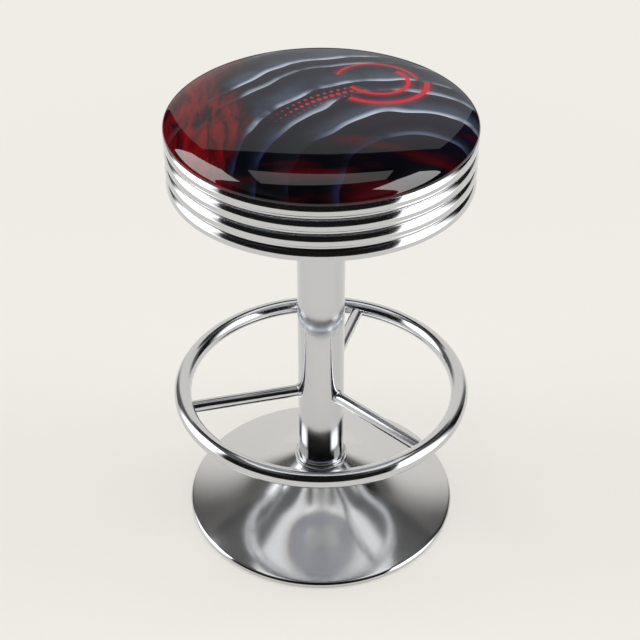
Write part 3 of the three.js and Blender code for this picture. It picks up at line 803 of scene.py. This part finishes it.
class STOOL_OT_stage(bpy.types.Operator):
    """Sets the camera, the pale floor, the lamps and the cards that the metal reflects"""
    bl_idname = "stool.stage"
    bl_label = "Stage"

    def execute(self, context):
        scene = context.scene
        settings = scene.stool_stage
        scene.view_settings.view_transform = "Standard"
        self.add_camera(scene, settings)
        self.add_room(scene, settings)
        self.add_floor(settings)
        self.add_lamps(settings)
        self.add_cards(settings)
        return {"FINISHED"}

    def add_camera(self, scene, settings):
        data = bpy.data.cameras.new("camera")
        data.lens = settings.camera_lens
        camera = add_object("camera", data)
        camera.location = settings.camera_place
        camera.rotation_euler = (math.pi / 2 - settings.camera_tilt, 0.0, 0.0)
        scene.camera = camera

    def add_room(self, scene, settings):
        world = bpy.data.worlds.new("room")
        world.cycles.sampling_method = "NONE"
        graph = fresh_graph(world)
        rays = graph.read("ShaderNodeLightPath")
        x, _, z = graph.parts(graph.made("ShaderNodeTexCoord", output="Generated"))
        side = graph.fade(abs(x), 0.2, 0.5, 0.0, settings.side_tone) * graph.fade(z, 0.65, 0.85)
        glow = side.most((rays["Glossy Depth"] > 2.5) * settings.deep_tone)
        room = graph.vector("ADD", tuple(settings.room_tone), graph.whole(glow, glow, glow))
        tone = graph.blend(rays["Is Glossy Ray"], (settings.ambient,) * 3, room)
        tone = graph.blend(rays["Is Camera Ray"], tone, settings.floor_colour)
        light = graph.made("ShaderNodeBackground", {"Color": tone, "Strength": 1.0})
        graph.add("ShaderNodeOutputWorld", {"Surface": light})
        scene.world = world

    def add_floor(self, settings):
        material = bpy.data.materials.new("floor")
        graph = fresh_graph(material)
        pale = (*settings.floor_colour, 1.0)
        where = graph.made("ShaderNodeTexCoord", output="Object")
        x, y, _ = graph.parts(where)
        away = graph.distance(where)
        reach = settings.shadow_reach
        shaded = graph.fade(away, reach / 4, reach, settings.floor_shadow, 0.0)
        strength = (1.0 - shaded * settings.floor_light) / (1.0 - shaded)
        even = graph.made("ShaderNodeEmission", {"Color": pale, "Strength": strength})
        matt = graph.made("ShaderNodeBsdfDiffuse", {"Color": pale})
        plain = graph.made("ShaderNodeMixShader", (shaded, even, matt))
        hidden, tone = self.mirrored_floor(graph, settings, x, y, away)
        mirrored = graph.made("ShaderNodeEmission", {"Color": pale, "Strength": tone})
        seen = graph.made("ShaderNodeMixShader", (hidden, plain, mirrored))
        graph.add("ShaderNodeOutputMaterial", {"Surface": seen})
        material.cycles.emission_sampling = "NONE"
        reach = settings.floor_reach
        self.add_flat("floor", material, [
            (-reach, -reach, 0.0), (reach, -reach, 0.0), (reach, reach, 0.0), (-reach, reach, 0.0)])

    def mirrored_floor(self, graph, settings, x, y, away):
        """Where metal sees something else in place of the plain floor, and how bright that is."""
        rays = graph.read("ShaderNodeLightPath")
        front = graph.fade(y, -settings.floor_front, -0.8 * settings.floor_front, 1.0, 0.0)
        behind = y > 0.99 * settings.card_distance
        beyond = front.most(behind) * rays["Is Glossy Ray"]
        twice = rays["Glossy Depth"] > 1.5
        under = (away < UNDER_REACH) * (rays["Ray Length"] > UNDER_RAY) * twice
        turn = graph.math("ARCTAN2", abs(x), y)
        aside = graph.fade(turn, *SIDE_TURNS) * (twice - under)
        box = turn > graph.fade(x, -0.01, 0.01, BOX_START_LEFT, BOX_START_RIGHT)
        box = box * graph.fade(turn, *BOX_END_TURNS, settings.near_tone, 0.0)
        box = box * graph.fade(away, *BOX_REACH, 1.0, 0.0)
        below = graph.fade(y, *UNDER_FRONT, settings.under_tone / 2, settings.under_tone)
        below = below * graph.fade(y, *UNDER_END, 1.0, 0.15)
        return beyond.most(aside).most(under), box * aside + under * below

    def add_lamps(self, settings):
        target = Vector((0.0, 0.0, COVER_TOP))
        up = math.pi / 2
        level = settings.lamp_share * (math.pi * settings.lamp_distance) ** 2
        for name, azimuth, rise in (("left", math.pi, settings.lamp_height),
                                    ("right", 0.0, settings.lamp_height), ("top", up, up)):
            data = bpy.data.lights.new("lamp_" + name, "AREA")
            data.size = settings.lamp_size
            data.energy = level / math.sin(rise)
            lamp = add_object("lamp_" + name, data)
            flat = math.cos(rise)
            way = Vector((flat * math.cos(azimuth), flat * math.sin(azimuth), math.sin(rise)))
            lamp.location = target + way * settings.lamp_distance
            lamp.rotation_euler = way.to_track_quat("Z", "Y").to_euler()
            lamp.visible_glossy = False

    def add_cards(self, settings):
        """Cards for the glossy cushion, and others for the chrome, each group blind to the rest."""
        far = settings.card_distance
        back = 2 * far
        top = COVER_TOP + 0.93 * back

        def upright(x, base, points):
            return [(x * far, y * far, base + z * far) for y, z in points]

        def level(height, points):
            return [(x * far, y * far, height) for x, y in points]

        self.add_card("card_back", settings.backdrop_tone, "cushion", [
            (-far, back, 0.0), (far, back, 0.0), (far, back, top), (-far, back, top)])
        self.add_card("card_left", settings.left_tone, "cushion", upright(-1.0, COVER_TOP, (
            (-0.3, 0.3), (0.72, 0.5), (1.25, 1.3), (1.25, 2.05), (0.6, 2.15))))
        self.add_card("card_right", settings.right_tone, "cushion", upright(1.0, COVER_TOP, (
            (-0.9, 0.2), (0.2, 0.76), (1.12, 2.0), (1.12, 2.7), (0.48, 3.5))))
        self.add_card("card_top", settings.top_tone, "cushion", level(COVER_TOP + far, (
            (-0.3, 0.33), (0.3, 0.45), (0.3, 0.68), (-0.3, 0.68))))
        self.add_card("card_sweep", settings.sweep_tone, "stool", [
            (x * far, far, z * far) for x, z in (
                (-1.5, 0.0), (1.5, 0.0), (1.5, 1.9), (0.7, 1.25), (0.0, 1.02), (-0.7, 1.25),
                (-1.5, 1.9))],
            fading=(0, settings.sweep_shift, 0.57 * far, 1.075 * far, settings.fill_tone),
            tint=(1.0, 0.973, 0.917))
        self.add_card("card_panel", settings.panel_tone, "stool", level(1.02 * far, (
            (-0.45, -0.2), (0.49, -0.2), (0.47, 0.15), (0.42, 0.3), (0.41, 0.47), (-0.36, 0.47),
            (-0.36, 0.27), (-0.44, 0.1))))
        self.add_card("card_box_left", settings.box_tone, "stool", upright(-1.02, 0.0, (
            (-0.45, 0.0), (0.68, 0.0), (0.65, 1.4), (-0.05, 1.2), (-0.33, 0.45))),
            fading=(1, 0.12 * far, 0.12 * far, 0.57 * far, 0.0))
        self.add_card("card_box_right", settings.box_tone, "stool", upright(1.02, 0.0, (
            (-1.0, 0.0), (0.3, 0.0), (0.3, 1.4), (-0.4, 1.3), (-0.78, 0.5))),
            fading=(1, -0.35 * far, 0.17 * far, 0.66 * far, 0.0))

    def add_card(self, name, tone, seen_by, corners, fading=None, tint=(1.0, 1.0, 1.0)):
        """A glowing card that hides nothing. It may fade along one axis, on both sides of a middle,
        between two distances, to a lower tone."""
        material = bpy.data.materials.new(name)
        graph = fresh_graph(material)
        if fading:
            axis, middle, start, end, low = fading
            where = graph.parts(graph.made("ShaderNodeTexCoord", output="Object"))
            tone = graph.fade(abs(where[axis] - middle), start, end, tone, low)
        light = graph.made("ShaderNodeEmission", {"Color": (*tint, 1.0), "Strength": tone})
        clear = graph.made("ShaderNodeBsdfTransparent")
        both = graph.made("ShaderNodeAddShader", (light, clear))
        graph.add("ShaderNodeOutputMaterial", {"Surface": both})
        material.cycles.emission_sampling = "NONE"
        card = self.add_flat(name, material, corners)
        for kind in ("camera", "diffuse", "transmission", "shadow"):
            setattr(card, "visible_" + kind, False)
        card.light_linking.receiver_collection = receivers(seen_by)

    def add_flat(self, name, material, corners):
        """One flat face of the stage."""
        mesh = bpy.data.meshes.new(name)
        mesh.from_pydata(corners, [], [tuple(range(len(corners)))])
        mesh.materials.append(material)
        flat = add_object(name, mesh)
        return flat


def cover_side(cushion):
    """The outer radius of the vinyl where it lies on the side of the board."""
    return BOARD_RADIUS + cushion.cover_gap + cushion.cover_thickness


class STOOL_OT_cushion(bpy.types.Operator):
    """Upholsters the seat: a crowned pad in printed vinyl, stapled under the board"""
    bl_idname = "stool.cushion"
    bl_label = "Cushion"

    def execute(self, context):
        settings = context.scene.stool_cushion
        shape = turned(self.outline(settings), settings.segments)
        pad = add_piece("seat_pad", to_mesh(shape, "seat_pad", 50.0), "seat", "printed_vinyl",
                        "seat_cover", "seat_foam")
        sees_cushion_cards(pad)
        return {"FINISHED"}

    def outline(self, settings):
        """The closed outline: round the board, out to the widest line and over the crown."""
        gap = settings.cover_gap
        side = cover_side(settings)
        inner, turn_in = BOARD_RADIUS + gap, side - settings.under_turn
        over, under = BOARD_TOP + gap, BOARD_BOTTOM - gap
        points = [(0.0, over), (inner, over), (inner, under), (turn_in, under),
                  (turn_in, COVER_BOTTOM)]
        edge = settings.cover_thickness
        points += arc(side - edge, COVER_BOTTOM + edge, edge, -math.pi / 2, 0.0, 4)
        rim = COVER_TOP - settings.crown_rise
        for i in range(settings.roll_steps + 1):
            turn = math.pi / 2 * (i / settings.roll_steps - 1)
            points.append((side + (COVER_RADIUS - side) * math.cos(turn),
                           rim + settings.under_roll * math.sin(turn)))
        for i in range(1, settings.crown_steps + 1):
            reach = math.cos(math.pi / 2 * i / settings.crown_steps)
            lift = (1 - reach ** settings.crown_fullness) ** settings.crown_roundness
            last = i == settings.crown_steps
            points.append((0.0 if last else COVER_RADIUS * reach,
                           rim + settings.crown_rise * lift))
        return points


class STOOL_OT_band(bpy.types.Operator):
    """Rolls the chrome band with its stacked beads and the flange under the seat"""
    bl_idname = "stool.band"
    bl_label = "Chrome Band"

    def execute(self, context):
        settings = context.scene.stool_band
        copied = (
            "Segments", "Rows", "Bead Count", "Bead Pitch", "Bead Radius", "Bottom Turn",
            "Top Turn", "Flange Width", "Scribe Depth", "Scribe Turn", "Scribe Below",
            "Scribe Above", "Crease Depth")
        values = {label: getattr(settings, label.lower().replace(" ", "_")) for label in copied}
        bead = settings.bead_radius
        shape = bmesh.new()
        shape.from_mesh(grown("ribbed_band", rolled_beads, {
            **values, "Half Bead": math.asin(settings.bead_pitch / (2 * bead)),
            "Centre Radius": BAND_RADIUS - bead,
            "First Bead": BAND_BOTTOM + bead * math.sin(settings.bottom_turn),
            "Material": finish("chrome")}))
        piece = add_piece("ribbed_band", to_mesh(shape, "ribbed_band", 50.0), "seat", "chrome",
                          "chrome_band")
        solidified(piece, settings.sheet)
        return {"FINISHED"}


class STOOL_OT_column(bpy.types.Operator):
    """Draws the column tube, with the weld under its top flange"""
    bl_idname = "stool.column"
    bl_label = "Column"

    def execute(self, context):
        settings = context.scene.stool_column
        bore = COLUMN_RADIUS - settings.wall
        edge = settings.edge_round
        profile = [(bore, COLUMN_FOOT)]
        profile += arc(COLUMN_RADIUS - edge, COLUMN_FOOT + edge, edge, -math.pi / 2, 0.0, 3)
        profile += [(COLUMN_RADIUS, COLUMN_FOOT + settings.edge_loop),
                    (COLUMN_RADIUS, COLUMN_TOP - settings.edge_loop)]
        profile += arc(COLUMN_RADIUS - edge, COLUMN_TOP - edge, edge, 0.0, math.pi / 2, 3)
        profile.append((bore, COLUMN_TOP))
        mesh = to_mesh(turned(profile, settings.segments), "column")
        add_piece("column", mesh, "frame", "chrome", "column_tube")
        bead = bmesh.new()
        bmesh.ops.create_uvsphere(bead, u_segments=10, v_segments=6, radius=settings.weld_radius)
        bmesh.ops.scale(bead, vec=(0.9, 1.1, 1.0), verts=bead.verts)
        ring_of_copies("flange_weld", to_mesh(bead, "weld_ripple"), "black_steel", "frame",
                       settings.weld_ripples, COLUMN_RADIUS,
                       FLANGE_BOTTOM - settings.weld_radius / 3, wobble=0.2)
        return {"FINISHED"}


class STOOL_OT_foot_ring(bpy.types.Operator):
    """Bends the foot ring and fits the three spokes that carry it"""
    bl_idname = "stool.foot_ring"
    bl_label = "Foot Ring"

    def execute(self, context):
        settings = context.scene.stool_foot_ring
        tube = (RING_HIGH - RING_LOW) / 2
        middle = (RING_HIGH + RING_LOW) / 2
        section = arc(RING_REACH - tube, middle, tube, 0.0, 2 * math.pi, settings.tube_steps)
        mesh = to_mesh(turned(section[:-1], settings.segments), "ring")
        add_piece("ring", mesh, "frame", "chrome", "foot_ring")
        for i, azimuth in enumerate(settings.spoke_azimuths):
            mesh = self.spoke(settings, azimuth, RING_REACH - tube)
            add_piece(f"ring_spoke_{i + 1}", mesh, "frame", "chrome", f"spoke_{i + 1}")
        return {"FINISHED"}

    def spoke(self, settings, azimuth, end):
        """A round bar from inside the column's face to the middle of the ring's tube."""
        radius = settings.spoke_radius
        fillet = settings.weld_fillet
        start = COLUMN_RADIUS - settings.spoke_sink
        foot = COLUMN_RADIUS + 1.6 * fillet
        profile = [(0.0, start), (radius + fillet, start)]
        steps = 6
        for i in range(steps + 1):
            turn = math.pi / 2 * i / steps
            profile.append((radius + fillet * (1 - math.sin(turn)),
                            foot + fillet * (1 - math.cos(turn))))
        profile += [(radius, foot + 2 * fillet), (radius, end), (0.0, end)]
        shape = turned(profile, settings.tube_steps)
        lay = Matrix.Rotation(azimuth, 4, "Z") @ Matrix.Rotation(math.pi / 2, 4, "Y")
        lay = Matrix.Translation((0.0, 0.0, RING_LOW + radius)) @ lay
        bmesh.ops.transform(shape, matrix=lay, verts=shape.verts)
        return to_mesh(shape, "ring_spoke")


class STOOL_OT_base(bpy.types.Operator):
    """Spins the trumpet base and the stepped collar on its neck"""
    bl_idname = "stool.base"
    bl_label = "Base"

    def execute(self, context):
        settings = context.scene.stool_base
        mesh = to_mesh(turned(self.shell(settings), settings.segments), "trumpet_base")
        add_piece("trumpet_base", mesh, "frame", "base_chrome", "base_shell")
        mesh = to_mesh(turned(self.collar(settings), settings.segments), "collar")
        add_piece("collar", mesh, "frame", "chrome", "base_collar")
        return {"FINISHED"}

    def shell(self, settings):
        """The closed outline of the sheet: the outer face from neck to rim, and back inside."""
        neck = settings.neck_radius
        rim = BASE_RADIUS - settings.rim_roll
        brim = rim + settings.rim_roll * math.cos(settings.rim_start)
        outer = []
        for i in range(settings.flare_steps):
            radius = neck + (brim - neck) * i / settings.flare_steps
            outer.append((radius, self.flare(settings, radius, brim)))
        outer += arc(rim, settings.rim_height, settings.rim_roll, settings.rim_start,
                     -settings.rim_turn, 20)
        return outer + beside(outer, -settings.sheet)[::-1]

    def flare(self, settings, radius, brim):
        """Height of the outer face: a steep neck cone that bends into a flatter, domed skirt."""
        neck = settings.neck_radius

        def softened(place):
            share_of_bend = (settings.bend_radius - place) / settings.bend_softness
            return settings.bend_softness * math.log1p(math.exp(share_of_bend))

        def skirt(place):
            dome = 1.0 - ((place - neck) / (brim - neck)) ** settings.dome_power
            fall = math.tan(settings.skirt_slope) * (brim - place)
            return settings.rim_height + rise + fall + settings.skirt_dome * dome

        rise = settings.rim_roll * math.sin(settings.rim_start)
        cone = (softened(radius) - softened(brim)) / (softened(neck) - softened(brim))
        return skirt(radius) + (BASE_TOP - skirt(neck)) * cone

    def collar(self, settings):
        """The closed outline: a spigot in the neck below, and two steps on the neck above."""
        bore = COLUMN_RADIUS + TOUCH_GAP
        spigot = settings.neck_radius - settings.sheet - 2 * TOUCH_GAP
        bottom = COLLAR_LOW + settings.collar_spigot + TOUCH_GAP
        tall = COLLAR_TOP - bottom
        outer = settings.neck_radius + settings.collar_lip
        ledge = bottom + tall / 2
        edge = settings.collar_edge
        step = outer - settings.collar_step
        profile = [(bore, COLLAR_LOW), (spigot, COLLAR_LOW), (spigot, bottom),
                   (outer - edge / 2, bottom)]
        profile += arc(outer - edge / 2, bottom + edge / 2, edge / 2, -math.pi / 2, 0.0, 5)
        profile += arc(outer - edge, ledge - edge, edge, 0.0, math.pi / 2, 8)
        profile += arc(step + edge / 3, ledge + edge / 3, edge / 3, -math.pi / 2, -math.pi, 4)
        profile += arc(step - edge, COLLAR_TOP - edge, edge, 0.0, math.pi / 2, 8)
        profile.append((bore, COLLAR_TOP))
        return profile


class STOOL_OT_fittings(bpy.types.Operator):
    """Adds the staples, the screws, the bolts and the balls, and finishes every other node"""
    bl_idname = "stool.fittings"
    bl_label = "Fittings"

    def execute(self, context):
        settings = context.scene.stool_fittings
        self.add_staples(settings, context.scene.stool_cushion)
        self.add_band_screws(settings)
        self.add_balls()
        self.add_bolts(settings)
        self.round_the_rest(settings)
        return {"FINISHED"}

    def add_staples(self, settings, cushion):
        wire = settings.staple_wire
        shape = bmesh.new()
        bmesh.ops.create_cube(shape, size=1.0)
        bmesh.ops.scale(shape, vec=(wire, settings.staple_width, wire / 2), verts=shape.verts)
        bmesh.ops.bevel(shape, geom=shape.edges[:], offset=wire / 6, segments=2, affect="EDGES")
        inner = cover_side(cushion) - cushion.under_turn
        ring_of_copies("staples", to_mesh(shape, "staple"), "zinc_steel", "seat",
                       cushion.staple_count, inner + settings.staple_inset,
                       COVER_BOTTOM - wire / 4, wobble=0.2)

    def add_band_screws(self, settings):
        low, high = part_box("band_screw_1")
        tall = high.z - low.z
        radius = (high.y - low.y) / 2
        face = BAND_BOTTOM - low.z
        shank = settings.band_screw_radius
        head = [(0.0, 0.0), (radius / 2, face / 10)]
        head += arc(radius - face / 2, face / 2, face / 2, -math.pi / 3, 0.0, 6)
        head += [(radius, face), (shank, face), (shank, tall - 2 * shank), (0.0, tall)]
        shape = turned(head, 32)
        cross = bmesh.new()
        slot = settings.cross_width
        for size in ((slot, radius, face), (radius, slot, face)):
            made = bmesh.ops.create_cube(cross, size=1.0)
            bmesh.ops.scale(cross, vec=size, verts=made["verts"])
        mesh = cut(to_mesh(shape, "band_screw"), to_mesh(cross, "screw_cross"))
        ring_of_copies("band_screws", mesh, "chrome", "seat", 4, (low.x + high.x) / 2, low.z,
                       nodes=numbered("band_screw"))

    def add_balls(self):
        low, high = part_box("bearing_ball_1")
        ball = bmesh.new()
        radius = (high.z - low.z) / 2
        bmesh.ops.create_uvsphere(ball, u_segments=24, v_segments=14, radius=radius)
        names = [name for name in frame["nodes"] if name.startswith("bearing_ball")]
        ring_of_copies("bearing_balls", to_mesh(ball, "bearing_ball"), "bearing_steel", "frame",
                       len(names), (low.x + high.x) / 2, (low.z + high.z) / 2, nodes=names)

    def add_bolts(self, settings):
        for group, body, head_on_top in (("flange_bolt", "frame", True),
                                         ("seat_bolt", "seat", False)):
            low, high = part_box(group + "_1")
            middle = (low + high) / 2
            ring_of_copies(group + "s", self.bolt(settings, high.z - low.z, head_on_top),
                           "zinc_steel", body, 4, math.hypot(middle.x, middle.y), low.z,
                           start=math.pi / 4, nodes=numbered(group))

    def bolt(self, settings, tall, head_on_top):
        """A hexagonal bolt on its own axis, standing on its lower end."""
        edge, head, radius = settings.bolt_edge, settings.bolt_head, settings.bolt_radius
        corner = settings.bolt_across / 2 / math.cos(math.pi / 6)
        under, top, end = (tall - head, tall, 0.0) if head_on_top else (head, 0.0, tall)
        inward = edge if head_on_top else -edge
        hexagon = turned([(0.0, under), (corner, under), (corner, top - inward),
                          (corner - edge, top), (0.0, top)], 6)
        shank = turned([(0.0, under), (radius, under), (radius, end + inward),
                        (radius - edge, end), (0.0, end)], 24)
        spare = to_mesh(shank, "shank")
        bmesh.ops.recalc_face_normals(hexagon, faces=hexagon.faces)
        hexagon.from_mesh(spare)
        bpy.data.meshes.remove(spare)
        return to_mesh(hexagon, "bolt", 25.0)

    def round_the_rest(self, settings):
        """Gives every other node its finish. Nuts 2 to 4 are copies of the first of their kind."""
        bodies = frame["record"]["behaviour"]["bodies"]
        slots = {part["node"]: part["material_slot"] for part in frame["record"]["subparts"]}
        edges = {"floor_ring": settings.rubber_edge, "base_ballast": settings.casting_edge}
        for name in ROUNDED_NODES:
            body = next(body for body, members in bodies.items() if name in members)
            if name[-1] in "234":
                first = name[:-1] + "1"
                mesh = bpy.data.objects[first + "_rounded"].data.copy()
                mesh.transform(Matrix.Translation(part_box(name)[0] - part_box(first)[0]))
            else:
                mesh = rounded(frame["nodes"][name], edges.get(name, settings.plate_edge))
            add_piece(name + "_rounded", mesh, body, slots[name], name)
        board = frame["nodes"]["seat_board"].data.materials
        board.clear()
        board.append(finish("plywood"))


class STOOL_PT_panel(bpy.types.Panel):
    """Lists the stool's pieces in the order in which they are built"""
    bl_label = "Diner Counter Stool"
    bl_idname = "STOOL_PT_panel"
    bl_space_type = "VIEW_3D"
    bl_region_type = "UI"
    bl_category = "Stool"

    def draw(self, context):
        for operator in OPERATORS:
            self.layout.operator(operator.bl_idname)


SETTINGS = {
    "stool_stage": StageSettings, "stool_cushion": CushionSettings, "stool_band": BandSettings,
    "stool_column": ColumnSettings, "stool_foot_ring": FootRingSettings, "stool_base": BaseSettings,
    "stool_fittings": FittingSettings,
}
OPERATORS = (
    STOOL_OT_stage, STOOL_OT_cushion, STOOL_OT_band, STOOL_OT_column, STOOL_OT_foot_ring,
    STOOL_OT_base, STOOL_OT_fittings,
)


def register():
    for owner in (*SETTINGS.values(), *OPERATORS, STOOL_PT_panel):
        bpy.utils.register_class(owner)
    for name, group in SETTINGS.items():
        setattr(bpy.types.Scene, name, PointerProperty(type=group))


def unregister():
    for name in SETTINGS:
        delattr(bpy.types.Scene, name)
    for owner in reversed((*SETTINGS.values(), *OPERATORS, STOOL_PT_panel)):
        bpy.utils.unregister_class(owner)


def main():
    register()
    for operator in OPERATORS:
        group, step = operator.bl_idname.split(".")
        getattr(getattr(bpy.ops, group), step)()


if __name__ == "__main__":
    main()
